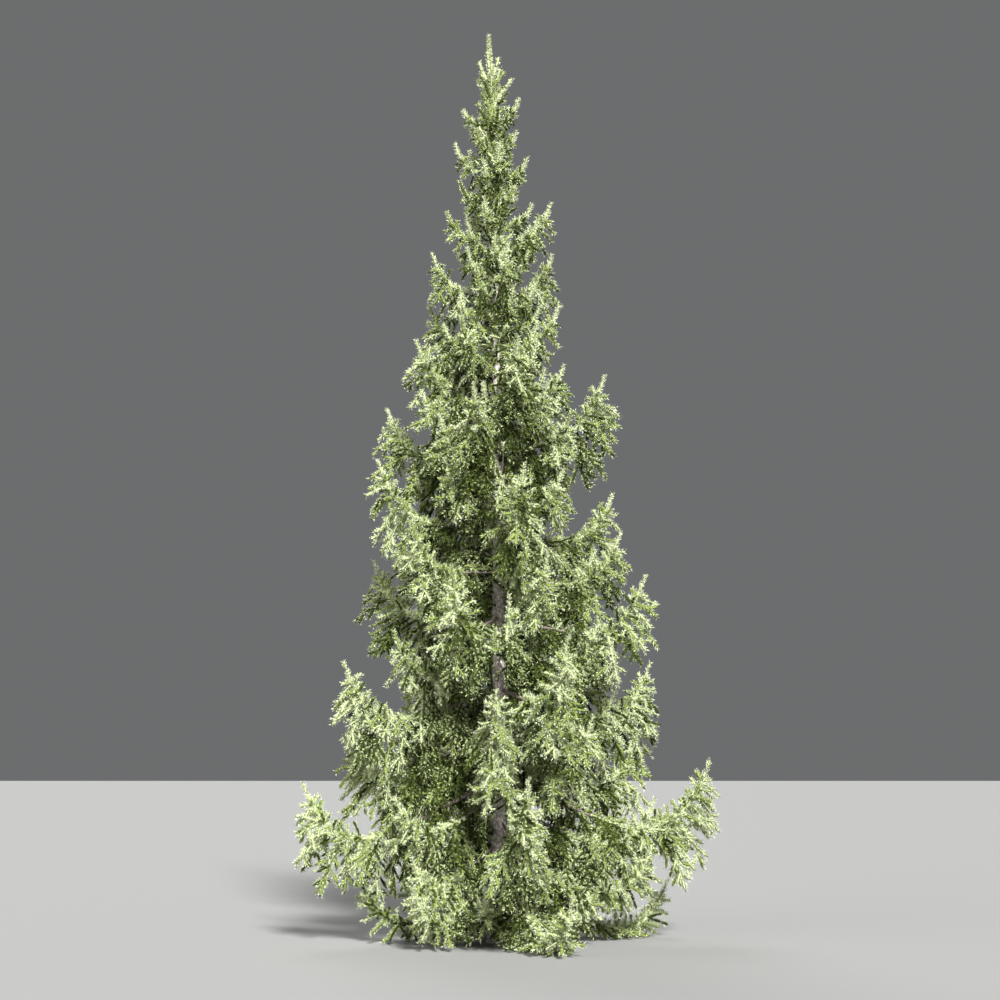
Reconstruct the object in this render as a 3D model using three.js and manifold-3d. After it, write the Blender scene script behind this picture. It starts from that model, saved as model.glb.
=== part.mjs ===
// A young spruce, rooted in the ground: one tapering trunk, twelve whorls of boughs and a leader.
//
// The four lowest whorls have bare inner limbs, each ending where its mass of foliage begins. Higher up
// the needles reach in to the trunk, so those masses stand on the trunk itself. Every mass grows by the
// same rule: one stem carries on along the bough's curve, sprays fork off it to either side, and more
// hang below it. Each spray of needled shoots is a toothed blade.
//
// Units are millimetres. +Z is up, the origin is the middle of the flat cut at ground level, +X is the
// side where the longest bough reaches out, and -Y is the front.

import * as THREE from 'three';
import { mergeVertices } from 'three/addons/utils/BufferGeometryUtils.js';
import Module from 'manifold-3d';

// ---------- driving dimensions ----------

const treeHeight = 9800;
const gap = 0.3; // between solids that touch

// The trunk: a stem with an even taper, standing on a flare of root buttresses.
const stemRadius = 100; // at the ground, without the flare
const tipRadius = 5;
const flareRadius = 48; // what the buttresses add at the ground
const flareHeight = 240; // over this height the flare fades to a third
const buttresses = 5;
const buttressDepth = 0.35; // share of the flare by which it swells and shrinks round the trunk
const leaderLean = 125; // how far the tip leans towards -X
const leanPower = 2.6; // the lean is all in the upper trunk
const trunkSides = 15;
const trunkRings = 14;
const ringCrowding = 2.2; // above 1, the rings crowd together towards the flare

// The boughs. From its foot each one leaves the trunk on a slope that grows steeper with height, and
// its outer end curves up by the same share of its reach in every whorl.
const slopeAtGround = -0.62;
const slopeGain = 1.32; // from the ground to the tip of the tree
const tipLift = 0.5;
const liftPower = 6;
const curveEnd = 1.08; // share of the reach beyond which a bough's curve is level
const limbEnd = 0.3; // share of the reach at which a bare limb enters its mass
const limbThickness = 0.0125; // radius at the foot, as a share of the reach
const limbTaper = 0.75; // share of that radius lost along the reach
const limbSides = 5;
const limbRings = 3;

// Where the boughs of a whorl point, in degrees from +X: right, back, left and front.
const fourWays = [0, 90, 180, 270];
const rightBackTwoFront = [0, 90, 215, 272];
const rightLeftFront = [0, 180, 270];
const rightBackLeft = [0, 90, 180];

// The whorls, from the ground up: the height of their foot, the turn of the whole whorl, and for each
// bough its reach and the tilt, in degrees, by which it stands above or hangs below its whorl.
const whorls = [
  { foot: 760, turn: 20, ways: rightBackTwoFront, reach: [1900, 1650, 1450, 1800], tilt: [-4, 0, -4, -5] },
  { foot: 1650, turn: 8, ways: fourWays, reach: [2240, 1950, 2030, 1900], tilt: [-1, 0, -7, -6] },
  { foot: 2550, turn: 24, ways: fourWays, reach: [1800, 1700, 1720, 1620], tilt: [-2, 0, -4, 3] },
  { foot: 3300, turn: -18, ways: fourWays, reach: [1580, 1450, 1430, 1500], tilt: [-4, 0, 8, -4] },
  { foot: 4200, turn: 12, ways: fourWays, reach: [1260, 1300, 1300, 1210], tilt: [-4, 0, 7, 0] },
  { foot: 5030, turn: -14, ways: fourWays, reach: [1170, 1050, 1260, 1020], tilt: [8, 0, -5, 0] },
  { foot: 5640, turn: 15, ways: rightLeftFront, reach: [760, 900, 850], tilt: [-3, 2, -4] },
  { foot: 6160, turn: -12, ways: rightBackLeft, reach: [690, 740, 770], tilt: [0, 0, 4] },
  { foot: 6730, turn: 12, ways: rightLeftFront, reach: [640, 710, 600], tilt: [7, -4, 0] },
  { foot: 7340, turn: -10, ways: rightBackLeft, reach: [630, 520, 540], tilt: [-6, 0, -2] },
  { foot: 8030, turn: 10, ways: rightLeftFront, reach: [390, 430, 380], tilt: [0, 9, 0] },
  { foot: 8660, turn: -12, ways: rightBackLeft, reach: [310, 300, 330], tilt: [10, 0, -7] },
];
const whorlsWithLimbs = 4;

// The space that each mass keeps to.
const sectorMargin = 14; // on its side of the plane between two boughs
const headroomShare = 0.06; // how far foliage may stand above its bough, as a share of the reach
const leastHeadroom = 45;
const layerMargin = 22; // above the space of the whorl below
const groundMargin = 25;
const trunkMargin = 14;
const whorlOverlap = 12; // degrees either side of a plane between two boughs where both count as below
const spaceStart = 0.27; // share of the reach where the space of a mass on a limb begins

// The sprays. Lengths are shares of the bough's reach.
const stemSink = 0.5; // a stem without a limb starts this far into the trunk, as a share of its radius
const stemEnd = 0.84; // the stem stops here and the tip blade carries on to the full reach
const stemSides = 3;
const stemRings = 4;
const leastStemRadius = 8;
const bareOnLimb = 0.05; // share of the reach that a stem stays bare, after a limb and after the trunk
const bareOnTrunk = 0.14;
const bareAtTip = 0.06;
const sprayLength = 0.52;
const sprayWidth = 0.52; // of its own length
const spraySweep = 52; // degrees between stem and spray
const sprayDroop = 0.5; // how far a spray bends down, as a share of its own length
const sprayLean = 0.5; // how far the face of a spray is tilted outwards, and to its own side
const sprayRoll = 0.9;
const bladeThickness = 0.06; // of a blade's length
const bladeSink = 0.45; // how far past the stem's middle a blade is rooted, as a share of its radius
const hangShare = 0.94; // how much of the free height below a stem its hanging blade fills
const hangCover = 0.95; // how much of the space between two hanging blades their width fills
const hangLean = 0.2; // how far a hanging blade leans outwards
const tipWidth = 0.4; // of the tip blade's length
const longestHang = 760;
const shortestBlade = 90;
const shortening = 0.8; // a blade that leaves its mass's space is shortened in these steps
const bladeVariation = 0.15; // either way, of a blade's length
const sweepVariation = 0.2;

// The leader: a slim needled sleeve over the top of the trunk, and the shoots that stand out of it, in
// a spiral from the lowest and widest to the highest and steepest.
const leaderFoot = 8850;
const leaderRadius = 24;
const leaderSides = 7;
const leaderRings = 3;
const leaderCap = 14; // what the sleeve adds above the trunk's own tip
const candles = 8;
const candleFeet = [8900, 9320];
const candleAngles = [50, 16]; // degrees off the trunk
const candleLength = 400;
const candleWidth = 0.3; // of its own length
const candleTurn = 137.5; // degrees from one to the next

// ---------- colours ----------

const bark = new THREE.MeshStandardMaterial({ color: 0x9a8a86, roughness: 0.9, metalness: 0 });
const needles = new THREE.MeshStandardMaterial({ color: 0x93a06c, roughness: 0.75, metalness: 0 });

// ---------- small helpers ----------

const wasm = await Module();
wasm.setup();

const up = new THREE.Vector3(0, 0, 1);
const { degToRad, lerp, clamp } = THREE.MathUtils;

// A closed three.js geometry as a manifold-3d solid.
function solidFrom(geometry) {
  const bare = geometry.toNonIndexed();
  bare.deleteAttribute('normal');
  bare.deleteAttribute('uv');
  const merged = mergeVertices(bare, 1e-3);
  return new wasm.Manifold(new wasm.Mesh({
    numProp: 3,
    vertProperties: merged.attributes.position.array,
    triVerts: new Uint32Array(merged.index.array),
  }));
}

// The reverse: the solid's largest body, with any sealed hollow filled, as a named mesh.
function meshFrom(name, solid, material) {
  const bodies = solid.decompose().sort((a, b) => b.volume() - a.volume());
  const { vertProperties, triVerts } = bodies[0].getMesh();
  const geometry = new THREE.BufferGeometry();
  geometry.setAttribute('position', new THREE.BufferAttribute(vertProperties, 3));
  geometry.setIndex(new THREE.BufferAttribute(triVerts, 1));
  geometry.computeVertexNormals();
  const mesh = new THREE.Mesh(geometry, material);
  mesh.name = name;
  return mesh;
}

// A repeatable stream of numbers from 0 to 1.
function drawsFrom(seed) {
  let state = seed;
  const next = () => {
    state = (state * 1664525 + 1013904223) % 4294967296;
    return state / 4294967296;
  };
  for (let i = 0; i < 4; i++) next();
  return next;
}

// A tapering limb: a cylinder bent along pointAt(t). side is square to the plane that the limb bends in.
function limbGeometry(pointAt, radiusAt, side, sides, rings) {
  const geometry = new THREE.CylinderGeometry(1, 1, 1, sides, rings);
  const position = geometry.attributes.position;
  const step = 1e-3;
  for (let i = 0; i < position.count; i++) {
    const t = position.getY(i) + 0.5;
    const tangent = pointAt(t + step).sub(pointAt(t - step)).normalize();
    const across = side.clone().addScaledVector(tangent, -side.dot(tangent)).normalize();
    const over = new THREE.Vector3().crossVectors(across, tangent);
    const radius = radiusAt(t);
    const point = pointAt(t)
      .addScaledVector(across, position.getX(i) * radius)
      .addScaledVector(over, position.getZ(i) * radius);
    position.setXYZ(i, point.x, point.y, point.z);
  }
  return geometry;
}

// ---------- the trunk ----------

// The middle of the trunk at a height.
function trunkCentre(z) {
  return new THREE.Vector3(-leaderLean * (Math.max(z, 0) / treeHeight) ** leanPower, 0, z);
}

// Its radius at a height, on the side that faces the given angle.
function trunkRadius(z, angle = 0) {
  const stem = lerp(stemRadius, tipRadius, z / treeHeight);
  const lobes = 1 + buttressDepth * Math.cos(buttresses * angle);
  return stem + flareRadius * lobes * Math.exp(-z / flareHeight);
}

// The trunk, or its envelope, larger by grow all round. The rings crowd together at the flare.
function trunkSolid(grow = 0) {
  const geometry = new THREE.CylinderGeometry(1, 1, 1, trunkSides, trunkRings);
  const position = geometry.attributes.position;
  const toCorners = grow / Math.cos(Math.PI / trunkSides);
  for (let i = 0; i < position.count; i++) {
    const t = position.getY(i) + 0.5;
    const z = treeHeight * t ** ringCrowding;
    const angle = Math.atan2(position.getX(i), position.getZ(i));
    const onRim = Math.hypot(position.getX(i), position.getZ(i)) > 0.5 ? 1 : 0;
    const radius = onRim * (trunkRadius(z, angle) + toCorners);
    const centre = trunkCentre(z);
    position.setXYZ(i, centre.x + radius * Math.sin(angle), -radius * Math.cos(angle),
      t === 0 ? z - grow : t === 1 ? z + grow : z);
  }
  return solidFrom(geometry);
}

// ---------- the boughs ----------

// Every bough of the tree, with its own curve and seed.
const boughs = whorls.flatMap((whorl, level) =>
  whorl.ways.map((way, i) => ({
    name: `${level + 1}_${i + 1}`,
    level,
    foot: whorl.foot,
    reach: whorl.reach[i],
    tilt: Math.tan(degToRad(whorl.tilt[i])),
    azimuth: degToRad(way + whorl.turn),
    slope: slopeAtGround + (slopeGain * whorl.foot) / treeHeight,
    hasLimb: level < whorlsWithLimbs,
    seed: 100 * (level + 1) + i,
  })),
);

// The height of a bough's curve at a distance from the trunk's axis.
function boughHeight(bough, distance) {
  const t = Math.min(distance / bough.reach, curveEnd);
  return bough.foot + bough.reach * ((bough.slope + bough.tilt) * t + tipLift * t ** liftPower);
}

// The bough's curve, from the trunk's axis at t = 0 to its furthest tip at t = 1.
function boughPoint(bough, t) {
  const axis = trunkCentre(bough.foot);
  return new THREE.Vector3(
    axis.x + bough.reach * t * Math.cos(bough.azimuth),
    axis.y + bough.reach * t * Math.sin(bough.azimuth),
    boughHeight(bough, bough.reach * t),
  );
}

function boughRadius(bough, t) {
  return Math.max(bough.reach * limbThickness * (1 - limbTaper * t), leastStemRadius);
}

// The level directions along a bough and square to it.
function boughOutward(bough) {
  return new THREE.Vector3(Math.cos(bough.azimuth), Math.sin(bough.azimuth), 0);
}

function boughSide(bough) {
  return new THREE.Vector3(-Math.sin(bough.azimuth), Math.cos(bough.azimuth), 0);
}

// A stretch of the bough from one share of its reach to another, as a geometry.
function boughStretch(bough, from, to, sides, rings) {
  const at = (t) => lerp(from, to, t);
  return limbGeometry((t) => boughPoint(bough, at(t)), (t) => boughRadius(bough, at(t)),
    boughSide(bough), sides, rings);
}

// ---------- the space of each mass ----------

// The angle between two directions round the trunk, without sign.
function angleBetween(a, b) {
  return Math.abs(Math.atan2(Math.sin(a - b), Math.cos(a - b)));
}

// The top of a bough's space at a distance from the trunk.
function ceilingOf(bough, distance) {
  return boughHeight(bough, distance) + Math.max(bough.reach * headroomShare, leastHeadroom);
}

// The bottom of a level's space at a point: the highest ceiling that the whorl below has near there.
function floorBelow(level, distance, angle) {
  const below = boughs.filter((b) => b.level === level - 1);
  if (below.length === 0) return groundMargin;
  const nearest = Math.min(...below.map((b) => angleBetween(angle, b.azimuth)));
  const near = below.filter((b) => angleBetween(angle, b.azimuth) < nearest + degToRad(whorlOverlap));
  return Math.max(...near.map((b) => ceilingOf(b, distance))) + layerMargin;
}

// A point's distance from the trunk's middle, and its direction round it.
function aroundTrunk(point) {
  const axis = trunkCentre(point.z);
  return {
    distance: Math.hypot(point.x - axis.x, point.y - axis.y),
    angle: Math.atan2(point.y - axis.y, point.x - axis.x),
  };
}

// Whether a point lies in the space of a bough's mass.
function isInSpace(bough, point) {
  const { distance, angle } = aroundTrunk(point);
  const offset = angleBetween(angle, bough.azimuth);
  const others = boughs.filter((b) => b.level === bough.level && b !== bough);
  const clearOfOthers = others.every((b) => {
    const beyond = (angleBetween(angle, b.azimuth) - offset) / 2;
    return distance * Math.sin(Math.min(beyond, Math.PI / 2)) > sectorMargin;
  });
  const innermost = bough.hasLimb ? bough.reach * spaceStart : trunkRadius(point.z) + trunkMargin;
  return clearOfOthers
    && distance > innermost
    && distance < bough.reach
    && point.z < ceilingOf(bough, distance)
    && point.z > floorBelow(bough.level, distance, angle);
}

// ---------- stems and blades ----------

// Half the outline of a blade, from its root to its tip, as [share of length, share of width], and the
// share of the length at which it is thickest. A spray has a bare stalk before its teeth.
const blade = { half: [[0, 0], [0.25, 0.5], [0.48, 0.26], [1, 0]], crown: 0.26 };
const spray = { half: [[0, 0], [0.2, 0.05], [0.38, 0.5], [0.58, 0.24], [1, 0]], crown: 0.4 };

// A toothed blade: a flat solid on the outline that rises to a point on both faces.
function bladeGeometry(root, direction, facing, length, width, { half, crown }) {
  const rim = [...half, ...half.filter(([, v]) => v > 0).reverse().map(([u, v]) => [u, -v])];
  const geometry = new THREE.SphereGeometry(1, rim.length, 2);
  const position = geometry.attributes.position;
  const along = direction.clone().normalize();
  const normal = facing.clone().addScaledVector(along, -facing.dot(along)).normalize();
  const across = new THREE.Vector3().crossVectors(along, normal);
  for (let i = 0; i < position.count; i++) {
    const isCrown = Math.abs(position.getY(i)) > 0.5;
    const turn = Math.atan2(position.getZ(i), -position.getX(i)) / (2 * Math.PI);
    const corner = Math.round(turn * rim.length + rim.length) % rim.length;
    const [u, v] = isCrown ? [crown, 0] : rim[corner];
    const rise = isCrown ? (Math.sign(position.getY(i)) * bladeThickness) / 2 : 0;
    const point = root.clone()
      .addScaledVector(along, u * length)
      .addScaledVector(across, v * width)
      .addScaledVector(normal, rise * length);
    position.setXYZ(i, point.x, point.y, point.z);
  }
  return geometry;
}

// Whether all of a blade keeps to the mass's space, apart from what is sunk into the stem at its root.
function fits(bough, geometry, root) {
  const position = geometry.attributes.position;
  return Array.from({ length: position.count }, (_, i) => i)
    .map((i) => new THREE.Vector3().fromBufferAttribute(position, i))
    .every((point) => point.distanceTo(root) < 3 * leastStemRadius || isInSpace(bough, point));
}

// A blade whose root is sunk into a stem of the given radius, shortened until it keeps to the mass's
// space. Its shape gives its direction, facing, length, width and outline. Undefined if none fits.
function bladeThatFits(bough, middle, radius, { direction, facing, length, width, outline }) {
  const root = middle.clone().addScaledVector(direction.clone().normalize(), -bladeSink * radius);
  for (let share = 1; share * length > shortestBlade; share *= shortening) {
    const geometry = bladeGeometry(root, direction, facing, share * length, share * width, outline);
    if (fits(bough, geometry, root)) return { geometry, length: share * length };
  }
  return undefined;
}

// ---------- the masses ----------

// How thickly a mass is set: the pairs of sprays along its stem, and how many of them, from the inside
// out, carry a hanging blade of their own.
function settingOf(bough) {
  if (bough.hasLimb) return { pairs: 4, doubled: 2 };
  return { pairs: bough.level < 6 ? 3 : 2, doubled: 0 };
}

// The share of the reach where a mass's stem starts: at the limb's end, or inside the trunk's bark.
function stemStart(bough) {
  return bough.hasLimb
    ? limbEnd + gap / bough.reach
    : (trunkRadius(bough.foot) * stemSink) / bough.reach;
}

// The middle of the stem, which runs straight between its rings.
function stemPoint(bough, t) {
  const start = stemStart(bough);
  const ringAt = (ring) => boughPoint(bough, lerp(start, stemEnd, ring / stemRings));
  const place = ((t - start) / (stemEnd - start)) * stemRings;
  const ring = clamp(Math.floor(place), 0, stemRings - 1);
  return ringAt(ring).lerp(ringAt(ring + 1), place - ring);
}

// The upturned tip, flat to the side, with its end at the full reach.
function tipGeometry(bough) {
  const root = boughPoint(bough, stemEnd);
  const span = boughPoint(bough, 1).sub(root);
  const length = span.length();
  root.addScaledVector(span, -leastStemRadius / length);
  return bladeGeometry(root, span, boughSide(bough), length, length * tipWidth, blade);
}

// A blade that hangs from a point into the free height below it.
function hangingBlade(bough, middle, radius, facing, width, vary) {
  const { distance, angle } = aroundTrunk(middle);
  const free = middle.z - floorBelow(bough.level, distance, angle);
  return bladeThatFits(bough, middle, radius, {
    direction: boughOutward(bough).multiplyScalar(hangLean).sub(up),
    facing,
    length: Math.min(free * hangShare, longestHang) * vary(bladeVariation),
    width,
    outline: blade,
  });
}

// A spray that forks off the stem, to the left for hand 1 and to the right for hand -1. The longest
// stand a third of the way along.
function sideSpray(bough, t, hand, vary) {
  const tangent = boughPoint(bough, t).sub(boughPoint(bough, t - 0.01)).normalize();
  const sweep = degToRad(spraySweep * vary(sweepVariation));
  const direction = tangent.multiplyScalar(Math.cos(sweep))
    .addScaledVector(boughSide(bough), hand * Math.sin(sweep))
    .addScaledVector(up, -sprayDroop)
    .normalize();
  const fullness = Math.sin(Math.PI * lerp(0.2, 0.92, t)) ** 0.6;
  const length = sprayLength * bough.reach * fullness * vary(bladeVariation);
  const fitted = bladeThatFits(bough, stemPoint(bough, t), boughRadius(bough, t), {
    direction,
    facing: up.clone().addScaledVector(boughOutward(bough), sprayLean)
      .addScaledVector(boughSide(bough), sprayRoll * hand),
    length,
    width: sprayWidth * length,
    outline: spray,
  });
  return fitted && { ...fitted, direction };
}

// The foliage of one bough. Along its stem, from the inside out, each pair is a spray to the right, a
// hanging blade and a spray to the left.
function massParts(bough) {
  const draw = drawsFrom(bough.seed);
  const vary = (share) => 1 + share * (2 * draw() - 1);
  const { pairs, doubled } = settingOf(bough);
  const start = stemStart(bough);
  const innermost = bough.hasLimb ? start + bareOnLimb : start + bareOnTrunk;
  const hangWidth = (bough.reach * (stemEnd - innermost) * hangCover) / pairs;
  const placeOf = (i) => lerp(innermost, stemEnd - bareAtTip, i / (3 * pairs - 1));

  const blades = [];
  const addSpray = (t, hand, isDoubled) => {
    const side = sideSpray(bough, t, hand, vary);
    if (!side) return;
    blades.push(side);
    if (!isDoubled) return;
    const middle = stemPoint(bough, t).addScaledVector(side.direction, spray.crown * side.length);
    const facing = boughOutward(bough).addScaledVector(boughSide(bough), hand);
    blades.push(hangingBlade(bough, middle, 0, facing, hangWidth, vary));
  };
  for (let i = 0; i < pairs; i++) {
    const t = placeOf(3 * i + 1);
    addSpray(placeOf(3 * i), -1, i < doubled);
    blades.push(hangingBlade(bough, stemPoint(bough, t), boughRadius(bough, t), boughSide(bough),
      hangWidth, vary));
    addSpray(placeOf(3 * i + 2), 1, i < doubled);
  }
  return [
    boughStretch(bough, start, stemEnd, stemSides, stemRings),
    tipGeometry(bough),
    ...blades.filter((fitted) => fitted).map((fitted) => fitted.geometry),
  ];
}

// ---------- the leader ----------

// The sleeve and its shoots, whose faces are turned outwards and sideways by turns.
function leaderSolid() {
  const sleeve = limbGeometry((t) => trunkCentre(lerp(leaderFoot, treeHeight + leaderCap, t)),
    (t) => lerp(trunkRadius(leaderFoot), tipRadius, t) + lerp(leaderRadius, leaderCap, t),
    new THREE.Vector3(0, 1, 0), leaderSides, leaderRings);
  const draw = drawsFrom(99);
  const shoots = Array.from({ length: candles }, (_, i) => {
    const rise = i / (candles - 1);
    const angle = degToRad(candleTurn * i);
    const around = new THREE.Vector3(Math.cos(angle), Math.sin(angle), 0);
    const direction = up.clone().addScaledVector(around, Math.tan(degToRad(lerp(...candleAngles, rise))));
    const length = candleLength * (1 - 0.25 * draw());
    const facing = i % 2 ? around : around.clone().cross(up);
    return bladeGeometry(trunkCentre(lerp(...candleFeet, rise)), direction, facing, length,
      length * candleWidth, blade);
  });
  return wasm.Manifold.union([sleeve, ...shoots].map(solidFrom));
}

// ---------- assembly ----------

const tree = new THREE.Group();
const trunk = trunkSolid();
const trunkEnvelope = trunkSolid(gap);

tree.add(meshFrom('trunk', trunk, bark));
for (const bough of boughs.filter((b) => b.hasLimb)) {
  const limb = solidFrom(boughStretch(bough, 0, limbEnd, limbSides, limbRings));
  tree.add(meshFrom(`bough_${bough.name}`, limb.subtract(trunkEnvelope), bark));
}
for (const bough of boughs) {
  const mass = wasm.Manifold.union(massParts(bough).map(solidFrom));
  tree.add(meshFrom(`foliage_${bough.name}`, mass.subtract(trunkEnvelope), needles));
}
tree.add(meshFrom('foliage_leader', leaderSolid().subtract(trunkEnvelope), needles));

export default tree;
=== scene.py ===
# %% [markdown]
# # A young spruce
# A young spruce is one straight trunk with whorls of boughs all the way up. Each bough sinks under its own
# weight and turns up to the light at its end, and the shoots hang from it like a curtain.
# The tree is built from the inside out: trunk, boughs, twigs, shoots and needles. Everything is grown by a
# seeded rule, because nobody can place hundreds of thousands of needles by hand, and a rule gives the
# same tree every time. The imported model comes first. It fixes where the trunk stands and where every
# bough ends.

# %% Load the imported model
import math

import bpy
import numpy as np
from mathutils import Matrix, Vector, noise


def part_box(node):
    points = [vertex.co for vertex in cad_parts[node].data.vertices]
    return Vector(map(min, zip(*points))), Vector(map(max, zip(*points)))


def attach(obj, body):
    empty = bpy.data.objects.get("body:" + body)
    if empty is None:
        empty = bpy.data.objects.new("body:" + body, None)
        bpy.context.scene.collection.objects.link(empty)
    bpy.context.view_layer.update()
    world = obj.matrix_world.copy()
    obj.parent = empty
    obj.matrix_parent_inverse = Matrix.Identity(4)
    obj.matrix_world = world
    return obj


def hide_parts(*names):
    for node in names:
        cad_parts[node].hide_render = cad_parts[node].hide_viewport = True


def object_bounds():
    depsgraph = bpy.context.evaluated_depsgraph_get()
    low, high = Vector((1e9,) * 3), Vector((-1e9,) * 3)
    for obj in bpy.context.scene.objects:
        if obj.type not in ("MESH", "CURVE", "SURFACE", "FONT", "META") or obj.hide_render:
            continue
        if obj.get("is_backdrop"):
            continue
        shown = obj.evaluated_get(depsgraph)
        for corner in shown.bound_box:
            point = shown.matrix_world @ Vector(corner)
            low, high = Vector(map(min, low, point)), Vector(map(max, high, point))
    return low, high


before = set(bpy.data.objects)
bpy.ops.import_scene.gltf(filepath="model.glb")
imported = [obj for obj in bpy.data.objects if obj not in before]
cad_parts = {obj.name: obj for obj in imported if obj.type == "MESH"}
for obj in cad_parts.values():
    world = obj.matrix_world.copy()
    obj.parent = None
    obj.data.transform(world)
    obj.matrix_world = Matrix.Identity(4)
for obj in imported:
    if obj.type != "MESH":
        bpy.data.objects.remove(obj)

cad_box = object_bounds()
tree_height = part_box("trunk")[1].z
print(f"loaded {len(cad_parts)} solids, the trunk is {tree_height:.2f} m tall")

# %% [markdown]
# ## Where the camera stands
# A tree is seen from eye height and from some way off, so the camera looks up at it a little. Tilting the
# camera keeps every other view centred, where shifting the lens would not.

# %% Camera
EYE_HEIGHT = 1.7
VIEW_DISTANCE = 17.0
VIEW_PITCH = math.radians(9.5)
LENS = 58.5
SENSOR_WIDTH = 36
FURTHEST_SEEN = 1000

camera_data = bpy.data.cameras.new("camera")
camera_data.lens = LENS
camera_data.sensor_width = SENSOR_WIDTH
camera_data.clip_end = FURTHEST_SEEN
camera = bpy.data.objects.new("camera", camera_data)
camera.location = (0, -VIEW_DISTANCE, EYE_HEIGHT)
camera.rotation_euler = (math.pi / 2 + VIEW_PITCH, 0, 0)
bpy.context.scene.collection.objects.link(camera)
bpy.context.scene.camera = camera
print(f"camera {VIEW_DISTANCE} m in front, tilted up {math.degrees(VIEW_PITCH):.1f} degrees")

# %% [markdown]
# ## Working with many vectors at once
# Numpy handles thousands of directions in one call, which a loop over single vectors can't do in time.
# An array of shape (n, 3) is a list of n points or directions here.

# %% Vector helpers
UP = np.array([0.0, 0.0, 1.0])
SLANTED = np.array([0.31, 0.17, 1.0])  # helps to find a right angle, as nothing grows exactly this way
FULL_TURN = 2 * math.pi
LEAST_LENGTH = 1e-9


def unit(vectors):
    """Each vector, scaled to length 1."""
    return vectors / np.maximum(np.linalg.norm(vectors, axis=-1, keepdims=True), LEAST_LENGTH)


def column(values):
    """Numbers as a column, so that they scale an array of vectors row by row."""
    return np.asarray(values, float)[..., None]


def blend(a, b, share):
    """The value that lies this share of the way from a to b."""
    return a + (b - a) * share


def level_direction(angle):
    """The level directions at these angles round the trunk."""
    angle = np.asarray(angle, float)
    return np.stack([np.cos(angle), np.sin(angle), np.zeros_like(angle)], axis=-1)


def square_to(axes, rng):
    """For each axis, a random direction at a right angle to it."""
    return unit(np.cross(axes, rng.normal(size=axes.shape)))


def alternating(count):
    """1 and -1 by turns, for what stands left and right."""
    return np.where(np.arange(count) % 2, 1.0, -1.0)


print(f"half a turn round the trunk points along {level_direction(math.pi).round(2)}")

# %% [markdown]
# ## Making a mesh from arrays
# Blender can take all points and faces of a mesh in one go with foreach_set. For a hundred thousand faces
# that is many times faster than bmesh, and it is exact, because nothing is merged or moved on the way.

# %% Mesh helpers
def mesh_from(name, vertices, faces):
    """A smooth mesh object from arrays of points and of faces, all with the same number of corners."""
    mesh = bpy.data.meshes.new(name)
    corners = faces.shape[1]
    mesh.vertices.add(len(vertices))
    mesh.vertices.foreach_set("co", np.ascontiguousarray(vertices, np.float32).ravel())
    mesh.loops.add(faces.size)
    mesh.loops.foreach_set("vertex_index", np.ascontiguousarray(faces, np.int32).ravel())
    mesh.polygons.add(len(faces))
    mesh.polygons.foreach_set("loop_start", np.arange(0, faces.size, corners, dtype=np.int32))
    mesh.polygons.foreach_set("use_smooth", np.full(len(faces), True))
    mesh.update(calc_edges=True)
    made = bpy.data.objects.new(name, mesh)
    bpy.context.scene.collection.objects.link(made)
    return made


def tube_faces(tubes, rings, sides):
    """The faces of tubes whose points are numbered tube by tube and ring by ring."""
    ring_starts = (np.arange(tubes)[:, None] * rings + np.arange(rings - 1)) * sides
    corner = np.arange(sides)
    here = ring_starts[:, :, None] + corner
    beside = ring_starts[:, :, None] + (corner + 1) % sides
    return np.stack([here, beside, beside + sides, here + sides], axis=-1).reshape(-1, 4)


def tube_points(paths, radii, sides):
    """Rings of points round many paths. Radii are given for each path and ring, or for each point."""
    along = unit(np.gradient(paths, axis=1))
    across = unit(np.cross(along, SLANTED))
    over = np.cross(along, across)
    turn = column(FULL_TURN * np.arange(sides) / sides)
    ring = np.cos(turn) * across[:, :, None] + np.sin(turn) * over[:, :, None]
    return paths[:, :, None] + ring * column(radii)


def tube_mesh(name, points):
    """One mesh of tubes from an array of their points, by tube, ring and side."""
    tubes, rings, sides = points.shape[:3]
    return mesh_from(name, points.reshape(-1, 3), tube_faces(tubes, rings, sides))


def corners_of(node):
    """All corner points of a solid, as an array."""
    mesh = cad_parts[node].data
    points = np.empty(len(mesh.vertices) * 3)
    mesh.vertices.foreach_get("co", points)
    return points.reshape(-1, 3)


print(f"the trunk's solid has {len(corners_of('trunk'))} corners")

# %% [markdown]
# ## The trunk's line
# The trunk is straight for most of its height, and the leader at its top leans a little. The tip's place is
# read from the solid, and the curve that leads down from it is the same as in the solid.

# %% Trunk line
LEAN_POWER = 2.6
STEM_RADIUS = 0.100
TIP_RADIUS = 0.005
FLARE_RADIUS = 0.048
FLARE_HEIGHT = 0.24
BUTTRESSES = 5
BUTTRESS_DEPTH = 0.35
TOP_TOLERANCE = 0.001

trunk_corners = corners_of("trunk")
trunk_tip = trunk_corners[trunk_corners[:, 2] > tree_height - TOP_TOLERANCE].mean(axis=0)


def trunk_middle(z):
    """The middle of the trunk at these heights."""
    share = np.clip(np.asarray(z, float) / tree_height, 0, 1)
    return np.stack([trunk_tip[0] * share**LEAN_POWER, 0 * share, share * tree_height], axis=-1)


def trunk_radius(z, angle=0.0):
    """The trunk's radius at these heights, on the side that faces the angle."""
    stem = blend(STEM_RADIUS, TIP_RADIUS, np.asarray(z) / tree_height)
    lobes = 1 + BUTTRESS_DEPTH * np.cos(BUTTRESSES * angle)
    return stem + FLARE_RADIUS * lobes * np.exp(-np.asarray(z) / FLARE_HEIGHT)


print(f"the leader leans {1000 * trunk_tip[0]:.0f} mm to the side")

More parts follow.
